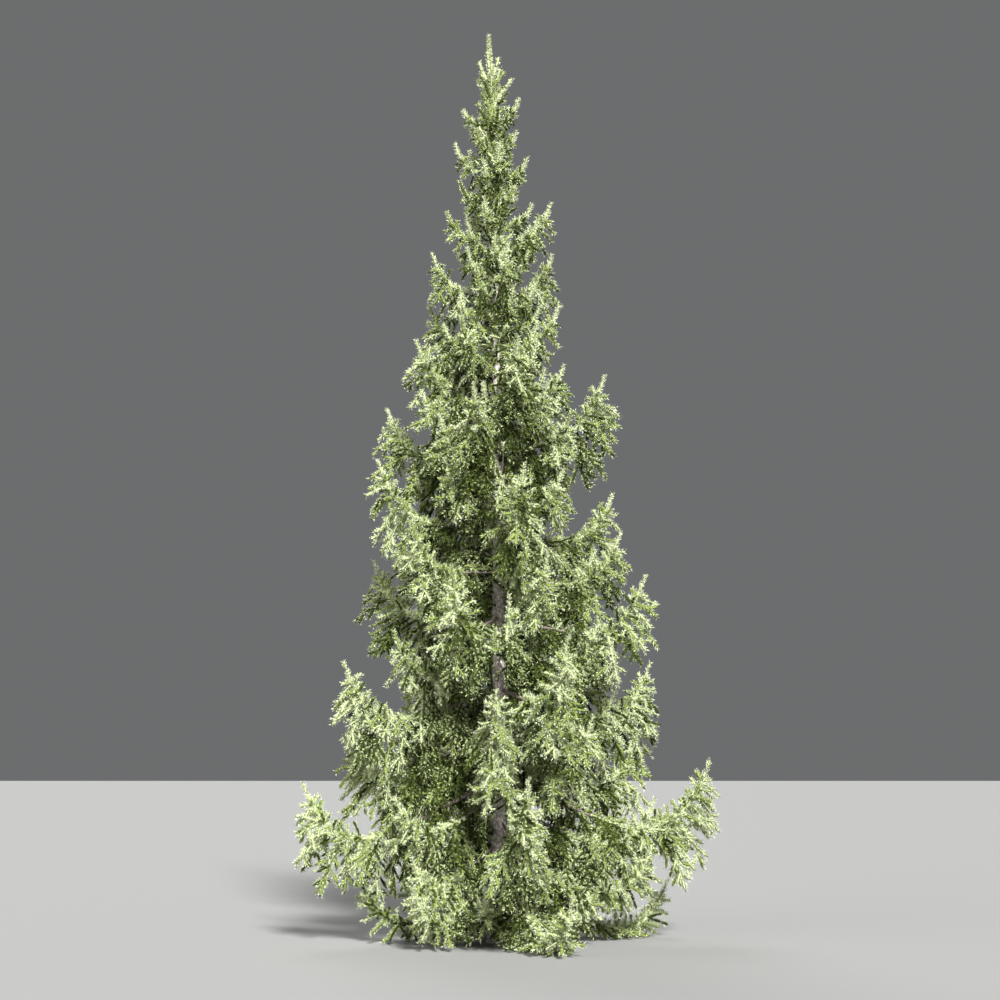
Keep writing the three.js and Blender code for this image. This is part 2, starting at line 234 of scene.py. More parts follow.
# %% [markdown]
# ## The boughs
# A bough's curve is a straight slope plus a rise that grows with the sixth power of the distance, which
# gives the long sag and the upturned end. Its foot is known for each whorl. Its tip is the highest of the
# outermost points of its solid, so reach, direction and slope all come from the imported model.

# %% Bough curves
FOOT_HEIGHTS = [0.76, 1.65, 2.55, 3.3, 4.2, 5.03, 5.64, 6.16, 6.73, 7.34, 8.03, 8.66]
TIP_LIFT = 0.5
LIFT_POWER = 6
CURVE_END = 1.08
LIMB_THICKNESS = 0.0125
LIMB_TAPER = 0.75
LEAST_RADIUS = 0.0035
CURVE_SAMPLES = 60
TANGENT_STEP = 0.01
TIP_MARGIN = 0.05
LEADER_LEVEL = len(FOOT_HEIGHTS)


class Bough:
    """One bough: where it starts, which way it points, and the curve that it follows."""

    def __init__(self, level, foot_height, angle, reach, slope):
        self.level = level
        self.foot = trunk_middle(foot_height)
        self.angle = angle
        self.reach = reach
        self.slope = slope
        self.outward = level_direction(angle)
        self.side = np.cross(UP, self.outward)
        self.samples = np.linspace(1, 0, CURVE_SAMPLES)
        steps = np.linalg.norm(np.diff(self.point(self.samples), axis=0), axis=1)
        self.from_tip = np.concatenate([[0], np.cumsum(steps)])
        self.length = self.from_tip[-1]

    def height(self, distance):
        """The height of the curve at a level distance from the trunk."""
        t = np.minimum(distance / self.reach, CURVE_END)
        return self.foot[2] + self.reach * (self.slope * t + TIP_LIFT * t**LIFT_POWER)

    def point(self, t):
        """The curve's points, from the trunk's middle at t = 0 to the tip at t = 1."""
        level_part = self.foot + column(t) * self.reach * self.outward
        return level_part * [1, 1, 0] + column(self.height(np.asarray(t) * self.reach)) * UP

    def share_at(self, from_tip):
        """The t of the places that lie this far back from the tip, measured along the curve."""
        return np.interp(from_tip, self.from_tip, self.samples)

    def tangent(self, t):
        """The direction in which the bough grows at t."""
        return unit(self.point(np.asarray(t) + TANGENT_STEP) - self.point(np.asarray(t) - TANGENT_STEP))

    def radius(self, t):
        """The thickness of its wood."""
        return np.maximum(self.reach * LIMB_THICKNESS * (1 - LIMB_TAPER * np.asarray(t)), LEAST_RADIUS)


def level_of(node):
    """The whorl that a foliage solid belongs to, counted from 0."""
    number = node.split("_")[1]
    return LEADER_LEVEL if number == "leader" else int(number) - 1


def main_bough(node):
    """The bough of a foliage solid, with its tip read from the solid."""
    level = level_of(node)
    foot = trunk_middle(FOOT_HEIGHTS[level])
    points = corners_of(node) - foot
    distances = np.hypot(points[:, 0], points[:, 1])
    outermost = points[distances > distances.max() - TIP_MARGIN]
    tip = outermost[outermost[:, 2].argmax()]
    reach = math.hypot(tip[0], tip[1])
    slope = tip[2] / reach - TIP_LIFT
    return Bough(level, foot[2], math.atan2(tip[1], tip[0]), reach, slope)


mass_nodes = sorted(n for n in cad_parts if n.startswith("foliage_") and n != "foliage_leader")
main_boughs = [main_bough(node) for node in mass_nodes]
print(f"{len(main_boughs)} boughs, the longest reaches {max(b.reach for b in main_boughs):.2f} m")

# %% [markdown]
# ## The boughs between the whorls
# Between two whorls a spruce has smaller boughs, which fill the crown from inside. They take their reach
# and slope from the main boughs that stand nearest above and below, and stay shorter than those. Two of
# them have strayed further out, one to each side. A few old ones are left below the lowest whorl and
# hide the trunk's foot.

# %% Boughs between the whorls
BETWEEN_SHARES = (0.25, 0.5, 0.75)
BETWEEN_WAYS = 3
BETWEEN_REACH = 0.80
BETWEEN_SEED = 41
REACH_RANGE = (0.80, 1.02)
SLOPE_RANGE = (-0.05, 0.07)
ANGLE_SPREAD = 0.12
FOOT_SPREAD = 0.05
LOW_LEVEL = -0.5
LOW_FOOT = 0.44
LOW_SLOPE = -0.33
LOW_WAYS_AND_REACHES = (  # degrees round the trunk, metres
    (60, 1.15), (155, 1.15), (188, 1.45), (218, 1.15), (262, 1.05), (330, 1.15))
STRAY_BOUGHS = (
    {"level": 3.5, "foot_height": 3.72, "angle": math.radians(-8), "reach": 1.29, "slope": -0.14},
    {"level": 1.4, "foot_height": 2.05, "angle": math.radians(184), "reach": 1.6, "slope": -0.52},
)


def turn_between(a, b):
    """The angle between two directions round the trunk, without sign."""
    return np.abs((np.asarray(a) - b + math.pi) % FULL_TURN - math.pi)


def nearest_of_level(level, angle):
    """The bough of a whorl that points most nearly this way."""
    whorl = [b for b in main_boughs if b.level == level]
    return min(whorl, key=lambda b: turn_between(b.angle, angle))


def boughs_between(level, rng):
    """The smaller boughs between this whorl and the next one up."""
    made = []
    turn = rng.uniform(0, FULL_TURN)
    for place, share in enumerate(BETWEEN_SHARES):
        for i in range(BETWEEN_WAYS):
            way = i + place / 2 + rng.uniform(-ANGLE_SPREAD, ANGLE_SPREAD)
            angle = turn + FULL_TURN * way / BETWEEN_WAYS
            below = nearest_of_level(level, angle)
            above = nearest_of_level(level + 1, angle)
            foot = blend(below.foot[2], above.foot[2], share + rng.uniform(-FOOT_SPREAD, FOOT_SPREAD))
            reach = blend(below.reach, above.reach, share) * BETWEEN_REACH * rng.uniform(*REACH_RANGE)
            slope = blend(below.slope, above.slope, share) + rng.uniform(*SLOPE_RANGE)
            made.append(Bough(level + share, foot, angle, reach, slope))
    return made


between_rng = np.random.default_rng(BETWEEN_SEED)
lower_whorls = range(LEADER_LEVEL - 1)
small_boughs = [b for level in lower_whorls for b in boughs_between(level, between_rng)]
small_boughs += [Bough(**stray) for stray in STRAY_BOUGHS]
low_boughs = [Bough(LOW_LEVEL, LOW_FOOT, math.radians(way), reach, LOW_SLOPE)
              for way, reach in LOW_WAYS_AND_REACHES]
all_boughs = main_boughs + small_boughs + low_boughs
print(f"{len(small_boughs)} smaller boughs between the whorls and {len(low_boughs)} below them")

# %% [markdown]
# ## How far a curtain may hang
# The shoots under a bough hang down to the boughs of the whorl below, and a little past them. Where those
# don't reach so far out, and under the lowest whorl, they stop above the ground, and the higher above it
# the further out they hang.

# %% Free height
GROUND_CLEARANCE = 0.08
CLEARANCE_START = 0.5
CLEARANCE_SLOPE = 0.28
HANG_OVERLAP = 0.15


def floor_below(level, points):
    """The lowest height that foliage of this level reaches, at each point."""
    below = math.ceil(level) - 1
    offset = points - trunk_middle(points[:, 2])
    distance = np.hypot(offset[:, 0], offset[:, 1])
    angle = np.arctan2(offset[:, 1], offset[:, 0])
    floor = GROUND_CLEARANCE + CLEARANCE_SLOPE * np.maximum(distance - CLEARANCE_START, 0)
    whorl = [b for b in main_boughs if b.level == below]
    if whorl:
        turns = np.stack([turn_between(b.angle, angle) for b in whorl])
        heights = np.stack([np.where(distance < b.reach, b.height(distance), 0) for b in whorl])
        nearest = np.take_along_axis(heights, turns.argmin(axis=0)[None], axis=0)[0]
        floor = np.maximum(floor, nearest - HANG_OVERLAP)
    return floor


lowest_tips = np.stack([b.point(1.0) for b in main_boughs if b.level == 0])
print(f"at the tips of the lowest whorl, shoots end {floor_below(0, lowest_tips).mean():.2f} m up")

# %% [markdown]
# ## Paths that sag
# A twig leaves its bough in some direction and bends down as it grows, because its own weight pulls on it.
# Here a path takes a few straight steps and turns a little further down, or up, before each one. Where it
# would reach the ground, it lies along the ground instead, and it doesn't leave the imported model's box by
# more than a hand's breadth.

# %% Sagging paths
TWIG_STEPS = 3
LYING_HEIGHT = 0.03
ROOM_MARGIN = 0.08

room_low = np.array([cad_box[0].x - ROOM_MARGIN, cad_box[0].y - ROOM_MARGIN, LYING_HEIGHT])
room_high = np.array(cad_box[1]) + ROOM_MARGIN


def within_room(points):
    """The points, with those outside the room for the tree moved to its edge."""
    return np.clip(points, room_low, room_high)


def sagging_paths(roots, directions, lengths, sags):
    """Paths as an array (n, TWIG_STEPS + 1, 3). A sag of 1 turns a level twig down by about 47 degrees."""
    points = [roots]
    heading = unit(directions)
    for _ in range(TWIG_STEPS):
        heading = unit(heading - column(sags / TWIG_STEPS) * UP)
        points.append(within_room(points[-1] + heading * column(lengths / TWIG_STEPS)))
    return np.stack(points, axis=1)


print(f"the room for twigs measures {(room_high - room_low).round(2)} m")

# %% [markdown]
# ## Where the trunk shows
# Seen from the front, the crown opens at a few heights and lets the light trunk show. Twigs and shoots
# that start or end in those gaps are left out.

# %% Gaps in front of the trunk
GAP_HEIGHTS = ((1.0, 1.45), (2.5, 2.85), (3.15, 3.55), (4.7, 4.95))
GAP_HALF_WIDTH = 0.05


def in_gap(points):
    """Whether each point lies in a gap in front of the trunk."""
    aside, back, height = np.moveaxis(points, -1, 0)
    at_gap = np.any([(height > low) & (height < high) for low, high in GAP_HEIGHTS], axis=0)
    return at_gap & (np.abs(aside) < GAP_HALF_WIDTH) & (back < 0)


gap_length = sum(top - bottom for bottom, top in GAP_HEIGHTS)
print(f"{len(GAP_HEIGHTS)} gaps show {gap_length:.2f} m of the trunk")

# %% [markdown]
# ## Twigs on a bough
# Every year a bough ends in a ring of buds, so its twigs stand in rings a hand's breadth or two apart. The
# outermost rings are stars of nearly straight fingers all round the bough. Further in, the twigs to the
# sides grow long and droop, those below hang as a curtain, and those on top stay short.

# %% Places for twigs
TERMINAL = 0.25
TERMINAL_SHARE = 0.42
STAR_SPACING = 0.105
RING_SPACING = 0.15
RING_JITTER = 0.04
BARE_PART = 0.20
YOUNGEST_TWIG = 0.13
TWIG_GROWTH = 0.36
LONGEST_TWIG = 0.56
STAR_PART = 0.40
LEAST_VIGOUR = 0.25
FULL_VIGOUR_LENGTH = 1.3
TRIAL_PLACE = 1.0
TRIAL_SEED = 0


def vigour(bough):
    """How strongly a bough's twigs grow, which is less on a short bough."""
    return min(1.0, LEAST_VIGOUR + bough.length / FULL_VIGOUR_LENGTH)


def terminal_length(bough):
    """The length of the shoot at a bough's end, which has no twigs yet."""
    return min(TERMINAL, TERMINAL_SHARE * bough.length)


def ring_places(bough, rng):
    """Distances back from the tip, along the curve, of the outer rings and of the inner rings."""
    star_end = max(STAR_PART * bough.length, TERMINAL + STAR_SPACING)
    outer = np.arange(terminal_length(bough), star_end, STAR_SPACING)
    inner = np.arange(star_end, bough.length * (1 - BARE_PART), RING_SPACING)
    return [rings * rng.uniform(1 - RING_JITTER, 1 + RING_JITTER, len(rings)) for rings in (outer, inner)]


def twig_lengths(from_tip, bough):
    """How long twigs have grown at these distances from the tip. Short boughs have short twigs."""
    longest = np.minimum(YOUNGEST_TWIG + TWIG_GROWTH * (from_tip - terminal_length(bough)), LONGEST_TWIG)
    return vigour(bough) * longest


def off_bough(bough, t, turns, angles):
    """Directions off the bough. A turn of 0 is its upper side, and an angle of 0 runs along it."""
    along = bough.tangent(t)
    over = np.cross(along, bough.side)
    square = column(np.sin(turns)) * bough.side + column(np.cos(turns)) * over
    return column(np.cos(angles)) * along + column(np.sin(angles)) * square


longest_bough = max(main_boughs, key=lambda b: b.length)
trial_length = twig_lengths(TRIAL_PLACE, longest_bough)
print(f"{TRIAL_PLACE} m back from the tip of the longest bough, twigs are {trial_length:.2f} m long")

# %% [markdown]
# ## Twigs that stand out
# The four kinds of twig differ only in which way they leave the bough, how long they grow and how much
# they sag. Each kind gets its own short function, and each draws its numbers from the random stream of
# its bough, so changing one bough leaves the others as they are. The stars and the side twigs come first.

# %% Star and side twigs
FINGERS = 5
UPPER_LOSS = 0.5
FINGER_TURN_SPREAD = 0.12
FINGER_ANGLES = (math.radians(50), math.radians(80))
FINGER_ANGLE_RANGE = (0.9, 1.1)
FINGER_LENGTH_RANGE = (0.85, 1.15)
FINGER_SAGS = (-0.15, 0.25)
OLD_FINGER_SAG = 0.3
SIDE_TURNS = (math.radians(76), math.radians(118))
SIDE_ANGLES = (math.radians(52), math.radians(72))
SIDE_LENGTH_RANGE = (0.8, 1.12)
SIDE_SAG = 0.35
OLD_SIDE_SAG = 1.1
SIDE_SAG_RANGE = (0.7, 1.3)


def star_twigs(bough, rings, rng):
    """The fingers of the outer rings, all round the bough."""
    from_tip = np.repeat(rings, FINGERS)
    count = len(from_tip)
    ring_turns = np.repeat(rng.uniform(0, FULL_TURN, len(rings)), FINGERS)
    turns = ring_turns + FULL_TURN * np.arange(count) / FINGERS + rng.normal(0, FINGER_TURN_SPREAD, count)
    angles = blend(*FINGER_ANGLES, np.minimum(from_tip, 1)) * rng.uniform(*FINGER_ANGLE_RANGE, count)
    t = bough.share_at(from_tip)
    upper = np.maximum(np.cos(turns), 0) * np.minimum(from_tip / TERMINAL - 1, 1)
    lengths = twig_lengths(from_tip, bough) * rng.uniform(*FINGER_LENGTH_RANGE, count)
    lengths = lengths * (1 - UPPER_LOSS * upper)
    sags = rng.uniform(*FINGER_SAGS, count) + OLD_FINGER_SAG * from_tip
    return sagging_paths(bough.point(t), off_bough(bough, t, turns, angles), lengths, sags), from_tip


def side_twigs(bough, rings, rng):
    """The long drooping twigs to the left and right of the inner rings."""
    from_tip = np.repeat(rings, 2)
    count = len(from_tip)
    turns = alternating(count) * rng.uniform(*SIDE_TURNS, count)
    angles = rng.uniform(*SIDE_ANGLES, count)
    t = bough.share_at(from_tip)
    lengths = twig_lengths(from_tip, bough) * rng.uniform(*SIDE_LENGTH_RANGE, count)
    sags = SIDE_SAG + OLD_SIDE_SAG * (1 - t) * rng.uniform(*SIDE_SAG_RANGE, count)
    return sagging_paths(bough.point(t), off_bough(bough, t, turns, angles), lengths, sags), from_tip


trial_rng = np.random.default_rng(TRIAL_SEED)
trial_paths, _ = side_twigs(longest_bough, np.array([TRIAL_PLACE]), trial_rng)
print(f"a side twig there sinks {trial_paths[0, 0, 2] - trial_paths[0, -1, 2]:.2f} m to its end")

# %% [markdown]
# ## Twigs below and on top
# The hanging twigs make the curtain. On a short bough they stay much shorter, as the crown would else close
# up at its top. Those on the upper side are short single shoots, which hide the bough's bark.

# %% Hanging twigs and top shoots
LONGEST_HANG = 0.75
LEAST_HANG = 0.08
YOUNGEST_HANG = 0.02
HANG_GROWTH = 1.0
HANG_LENGTH_RANGE = (0.7, 1)
HANG_VIGOUR_POWER = 2
HANG_START = 0.26
HANG_SPACING = 0.052
HANG_SPREAD = 0.55
HANG_ANGLES = (math.radians(60), math.radians(95))
HANG_SAGS = (0.4, 1.0)
TOP_SPACING = 0.06
TOP_PART = 0.72
TOP_SPREAD = 0.8
TOP_ANGLES = (math.radians(35), math.radians(70))
TOP_LENGTHS = (0.07, 0.13)


def hanging_twigs(bough, rng):
    """The curtain under a bough, as far down as there is room."""
    from_tip = np.arange(HANG_START, bough.length * (1 - BARE_PART), HANG_SPACING)
    count = len(from_tip)
    t = bough.share_at(from_tip)
    roots = bough.point(t)
    free = np.maximum(roots[:, 2] - floor_below(bough.level, roots), LEAST_HANG)
    longest = np.minimum(YOUNGEST_HANG + HANG_GROWTH * from_tip, LONGEST_HANG)
    longest = longest * vigour(bough) ** HANG_VIGOUR_POWER
    lengths = np.minimum(free, longest) * rng.uniform(*HANG_LENGTH_RANGE, count)
    turns = math.pi + rng.normal(0, HANG_SPREAD, count)
    angles = rng.uniform(*HANG_ANGLES, count)
    sags = rng.uniform(*HANG_SAGS, count)
    return sagging_paths(roots, off_bough(bough, t, turns, angles), lengths, sags), from_tip


def top_shoots(bough, rng):
    """Starts and ends of the short single shoots that hide the upper side of a bough."""
    from_tip = np.arange(terminal_length(bough), TOP_PART * bough.length, TOP_SPACING)
    count = len(from_tip)
    t = bough.share_at(from_tip)
    directions = off_bough(bough, t, rng.normal(0, TOP_SPREAD, count), rng.uniform(*TOP_ANGLES, count))
    starts = bough.point(t)
    return starts, starts + directions * column(rng.uniform(*TOP_LENGTHS, count))


trial_curtain, _ = hanging_twigs(longest_bough, trial_rng)
print(f"{len(trial_curtain)} twigs hang under the longest bough")

# %% [markdown]
# ## Shoots on a twig
# Shoots stand left and right along each twig, longest near its foot and short at its tip. They are the
# finger-long bottle brushes that one sees when coming near a spruce.

# %% Shoots
SHOOT_SPACING = 0.062
SHOOT_ANGLE = math.radians(54)
SHOOT_ROLL = math.radians(42)
SHOOT_DROOPS = (0.1, 0.6)
SHORTEST_SHOOT = 0.08
SHOOT_GROWTH = 0.42
LONGEST_SHOOT = 0.19
SHOOT_LENGTH_RANGE = (0.75, 1.15)
SHOOT_ANGLE_RANGE = (0.8, 1.2)
PLACE_RANGE = (0.2, 0.8)
FIRST_PLACE = 0.06
LAST_PLACE = 0.96
UNBRANCHED = 0.28
NEARLY_UP = UP + np.array([0.02, 0.01, 0])  # a little off, as a twig may hang straight down


def shoots_of(path, depth, rng):
    """Straight shoots on one twig, as arrays of their starts and ends."""
    steps = np.diff(path, axis=0)
    length = np.linalg.norm(steps, axis=1).sum()
    count = max(int((length - UNBRANCHED / 2) / SHOOT_SPACING), 0) if length > UNBRANCHED else 0
    spread = (np.arange(count) + rng.uniform(*PLACE_RANGE, count)) / max(count, 1)
    along = np.minimum(FIRST_PLACE + (1 - UNBRANCHED / 2 / length) * spread, LAST_PLACE)
    place = along * TWIG_STEPS
    step = np.minimum(place.astype(int), TWIG_STEPS - 1)
    starts = path[step] + steps[step] * column(place - step)
    axes = unit(steps[step])
    sideways = unit(np.cross(axes, NEARLY_UP))
    over = np.cross(sideways, axes)
    roll = rng.normal(0, SHOOT_ROLL, count)
    around = column(alternating(count) * np.cos(roll)) * sideways + column(np.sin(roll)) * over
    angle = SHOOT_ANGLE * rng.uniform(*SHOOT_ANGLE_RANGE, count)
    droop = blend(*SHOOT_DROOPS, depth) * UP
    directions = column(np.cos(angle)) * axes + column(np.sin(angle)) * around - droop
    reach = np.minimum(SHORTEST_SHOOT + SHOOT_GROWTH * (1 - along) * length, LONGEST_SHOOT)
    reach = reach * rng.uniform(*SHOOT_LENGTH_RANGE, count)
    return starts, within_room(starts + unit(directions) * column(reach))


trial_starts, _ = shoots_of(trial_paths[0], TRIAL_PLACE / longest_bough.length, trial_rng)
print(f"that side twig carries {len(trial_starts)} shoots")

# %% [markdown]
# ## What has grown so far
# Wood and needles are collected as plain arrays and turned into meshes only at the end, because a few large
# meshes render and export far faster than many thousand small ones. A brush is one straight stretch of
# shoot that carries needles. It remembers its spray, since all needles of a spray share one tint.

# %% Growth
DENSEST = 1.2
SHADE_LOSS = 0.75


def density_at(depth):
    """How densely the needles stand at this depth in the crown."""
    return DENSEST - SHADE_LOSS * depth


class Growth:
    """The wood of the twigs, and the brushes of needles on twigs and shoots."""

    def __init__(self):
        self.twigs = []
        self.brushes = []
        self.sprays = 0

    def add_brushes(self, starts, ends, depth, level, density, radius=0.0):
        """Brushes from starts to ends. Depth is 0 at the crown's outside and 1 at the trunk."""
        values = [np.broadcast_to(v, len(starts)) for v in (depth, level, density, radius, self.sprays)]
        clear = ~(in_gap(starts) | in_gap(ends))
        self.brushes.append(np.column_stack([starts, ends] + values)[clear])

    def add_finger(self, path, depth, level):
        """One twig without shoots."""
        self.sprays += 1
        self.twigs.append(path)
        self.add_brushes(path[:-1], path[1:], depth, level, density_at(depth))

    def add_twig(self, path, depth, level, rng):
        """One twig with its shoots, which together are one spray, unless it would hide the trunk."""
        starts, ends = shoots_of(path, depth, rng)
        if not in_gap(path).any():
            self.add_finger(path, depth, level)
            self.add_brushes(starts, ends, depth, level, density_at(depth))


print(f"outside, needles stand {density_at(0) / density_at(1):.1f} times as densely as at the trunk")

# %% [markdown]
# ## Growing the crown
# Each bough gets its twigs, ring by ring. Its outer part carries needles itself, as the wood there is only
# a few years old. The sleeve of needles gets slimmer towards the bough's end.

# %% Grow the boughs
NEEDLED_PART = 0.62
NEEDLED_STRETCHES = 13
STEM_DEPTH = 0.1
STEM_DENSITY = 2.2
TOP_DEPTH = 0.3
TOP_DENSITY = 1.0
END_SLIMMING = 0.012
END_POWER = 6
BOUGH_SEED = 100


def slim_towards_end(radii):
    """The radii under a sleeve of needles, with less and less of them towards the last one."""
    return radii - END_SLIMMING * np.linspace(0, 1, len(radii)) ** END_POWER


def grow_bough(growth, bough, rng):
    """Everything that grows on one bough."""
    outer, inner = ring_places(bough, rng)
    kinds = (star_twigs(bough, outer, rng), side_twigs(bough, inner, rng), hanging_twigs(bough, rng))
    for paths, from_tip in kinds:
        for path, back in zip(paths, from_tip):
            growth.add_twig(path, back / bough.length, bough.level, rng)
    growth.add_brushes(*top_shoots(bough, rng), TOP_DEPTH, bough.level, TOP_DENSITY)
    shares = bough.share_at(np.linspace(NEEDLED_PART * bough.length, 0, NEEDLED_STRETCHES + 1))
    stem = bough.point(shares)
    radii = slim_towards_end(bough.radius(shares[:-1]))
    growth.add_brushes(stem[:-1], stem[1:], STEM_DEPTH, bough.level, STEM_DENSITY, radii)


growth = Growth()
for number, bough in enumerate(all_boughs):
    grow_bough(growth, bough, np.random.default_rng(BOUGH_SEED + number))
print(f"{len(growth.twigs)} twigs on {len(all_boughs)} boughs")

# %% [markdown]
# ## The leader and the trunk's own twigs
# Above the last whorl the trunk itself is a needled shoot. Candles, the upright side shoots, stand out of
# it in a spiral, the lowest wide and the highest steep. Small twigs grow straight from the bark all the way
# down the trunk and fill the crown's inside. Both follow the golden angle, as the buds of a real shoot do.

# %% Grow the leader and the trunk's twigs
GOLDEN_ANGLE = math.radians(137.5)
NEEDLED_TRUNK = 7.0
TRUNK_STRETCHES = 28
CANDLES = 8
CANDLE_FEET = (8.96, 9.30)
CANDLE_ANGLES = (math.radians(44), math.radians(18))
CANDLE_LENGTHS = (0.42, 0.30)
CANDLE_LENGTH_RANGE = (0.85, 1.1)
CANDLE_RISE = 0.4
LEADER_DEPTH = 0.0
LEADER_DENSITY = 3.2
LEADER_SEED = 99
TRUNK_TWIG_FEET = (0.3, 9.2)
TRUNK_TWIGS = 340
TRUNK_TWIG_CROWDING = 0.7
TRUNK_TWIG_LENGTHS = (0.60, 0.26)
TRUNK_TWIG_LENGTH_RANGE = (0.7, 1.1)
TRUNK_TWIG_RISES = (0.1, 1.5)
TRUNK_TWIG_SAGS = (1.2, 0.1)
TRUNK_TWIG_DEPTHS = (0.7, 0.3)
TRUNK_TWIG_SEED = 98


def path_from_trunk(height, way, rise, length, sag):
    """The path of one twig on the trunk. Its rise is how far it goes up for each step outwards."""
    foot = trunk_middle(height)
    direction = level_direction(way) + rise * UP
    return sagging_paths(foot[None], direction[None], np.array([length]), np.array([sag]))[0]


def grow_leader(growth, rng):
    """The needled top of the trunk with its candles."""
    stem = trunk_middle(np.linspace(NEEDLED_TRUNK, tree_height, TRUNK_STRETCHES))
    radii = slim_towards_end(trunk_radius(stem[:-1, 2]))
    growth.add_brushes(stem[:-1], stem[1:], LEADER_DEPTH, LEADER_LEVEL, LEADER_DENSITY, radii)
    for i in range(CANDLES):
        share = i / (CANDLES - 1)
        rise = 1 / math.tan(blend(*CANDLE_ANGLES, share))
        length = blend(*CANDLE_LENGTHS, share) * rng.uniform(*CANDLE_LENGTH_RANGE)
        foot = blend(*CANDLE_FEET, share)
        path = path_from_trunk(foot, GOLDEN_ANGLE * i, rise, length, -CANDLE_RISE)
        growth.add_finger(path, LEADER_DEPTH, LEADER_LEVEL)


def level_at(height):
    """The number of the whorl just below a height."""
    return max(int(np.searchsorted(FOOT_HEIGHTS, height)) - 1, 0)


def grow_trunk_twigs(growth, rng):
    """The small twigs on the trunk between its boughs."""
    shares = np.linspace(0, 1, TRUNK_TWIGS) ** TRUNK_TWIG_CROWDING
    for i, share in enumerate(shares):
        height = blend(*TRUNK_TWIG_FEET, share)
        rise = blend(*TRUNK_TWIG_RISES, share)
        sag = blend(*TRUNK_TWIG_SAGS, share)
        length = blend(*TRUNK_TWIG_LENGTHS, share) * rng.uniform(*TRUNK_TWIG_LENGTH_RANGE)
        depth = blend(*TRUNK_TWIG_DEPTHS, share)
        path = path_from_trunk(height, GOLDEN_ANGLE * i, rise, length, sag)
        growth.add_twig(path, depth, level_at(height), rng)


grow_leader(growth, np.random.default_rng(LEADER_SEED))
grow_trunk_twigs(growth, np.random.default_rng(TRUNK_TWIG_SEED))
brushes = np.concatenate(growth.brushes)
starts, ends = brushes[:, 0:3], brushes[:, 3:6]
depths, levels, density, stem_radii, sprays = brushes[:, 6:11].T
brush_lengths = np.linalg.norm(ends - starts, axis=1)
print(f"{growth.sprays} sprays, {len(starts)} brushes, {brush_lengths.sum():.0f} m of needled shoots")

# %% [markdown]
# ## The cores of the shoots
# Near a shoot its needles stand so close together that one can't see between them. A solid core takes
# their place there: a slender spindle with three sides, thickest beyond its middle. It makes each shoot
# the firm round finger that it is on the tree, and it lets far fewer needles do. In the shade, deep in
# the crown, the needles are fewer and the cores thinner.

# %% Shoot cores
CORE_RADIUS = 0.0215
SHADE_THINNING = 0.5
CORE_FOOT_SHARE = 0.75
CORE_SHOULDER = 0.78
CORE_SIDES = 3


def core_spindles(starts, ends, stem_radii, depths):
    """The points of all cores: a ring at the foot, a ring at the shoulder and the tip."""
    axes = unit(ends - starts)
    across = unit(np.cross(axes, SLANTED))
    over = np.cross(axes, across)
    turn = column(FULL_TURN * np.arange(CORE_SIDES) / CORE_SIDES)
    ring = np.cos(turn) * across[:, None] + np.sin(turn) * over[:, None]
    wide = (CORE_RADIUS * (1 - SHADE_THINNING * np.minimum(depths, 1)) + stem_radii)[:, None, None]
    foot = starts[:, None] + ring * wide * CORE_FOOT_SHARE
    shoulder = blend(starts, ends, CORE_SHOULDER)[:, None] + ring * wide
    return np.concatenate([foot, shoulder, ends[:, None]], axis=1)


def core_faces():
    """The triangles of one spindle. Its foot stays open, as it is hidden among the needles."""
    faces = []
    for side in range(CORE_SIDES):
        beside = (side + 1) % CORE_SIDES
        above, above_beside = side + CORE_SIDES, beside + CORE_SIDES
        faces += [(side, beside, above_beside), (side, above_beside, above)]
        faces.append((above, above_beside, 2 * CORE_SIDES))
    return np.array(faces)


cores = core_spindles(starts, ends, stem_radii, depths)
core_face = core_faces()
print(f"{len(cores)} cores of {len(core_face)} faces")

# %% [markdown]
# ## Needles
# A needle is one slender face, widest at its foot. Each stands out from its shoot at nearly 60 degrees,
# leaning forwards, and faces a random way, so that some catch the light and some don't. There are far
# fewer than on a living tree, and each is longer and several times wider to make up for it.

# %% Needle shapes
NEEDLE_BUDGET = 640_000
NEEDLE_LENGTH = 0.031
NEEDLE_WIDTH = 0.008
NEEDLE_LENGTH_RANGE = (0.85, 1.05)
NEEDLE_ANGLE = math.radians(56)
NEEDLE_ANGLE_RANGE = (0.8, 1.15)
NEEDLE_FOOT = 0.017
LEAST_FOOT_HEIGHT = 0.012
LEAST_TIP_HEIGHT = 0.004
BOX_MARGIN = 0.12
NEEDLE_SEED = 5

needle_rng = np.random.default_rng(NEEDLE_SEED)
wanted = brush_lengths * density
counts = wanted * NEEDLE_BUDGET / wanted.sum() + needle_rng.uniform(0, 1, len(wanted))
owner = np.repeat(np.arange(len(starts)), counts.astype(int))
along = needle_rng.uniform(0, 1, len(owner))
axes = unit(ends - starts)[owner]
square = square_to(axes, needle_rng)
foot_radii = column(stem_radii[owner] + NEEDLE_FOOT)
feet = starts[owner] + (ends - starts)[owner] * column(along) + square * foot_radii
angles = NEEDLE_ANGLE * needle_rng.uniform(*NEEDLE_ANGLE_RANGE, len(owner))
headings = column(np.cos(angles)) * axes + column(np.sin(angles)) * square
half_widths = square_to(headings, needle_rng) * NEEDLE_WIDTH / 2
tips = feet + headings * column(NEEDLE_LENGTH * needle_rng.uniform(*NEEDLE_LENGTH_RANGE, len(owner)))
low_corner = np.array(cad_box[0]) - BOX_MARGIN
high_corner = np.array(cad_box[1]) + BOX_MARGIN
kept = np.all((tips > low_corner) & (tips < high_corner), axis=1)
kept &= (tips[:, 2] > LEAST_TIP_HEIGHT) & (feet[:, 2] > LEAST_FOOT_HEIGHT)
needles = np.stack([feet - half_widths, feet + half_widths, tips], axis=1)[kept]
owner = owner[kept]
print(f"{len(needles)} needles, {len(needles) / brush_lengths.sum():.0f} to the metre")

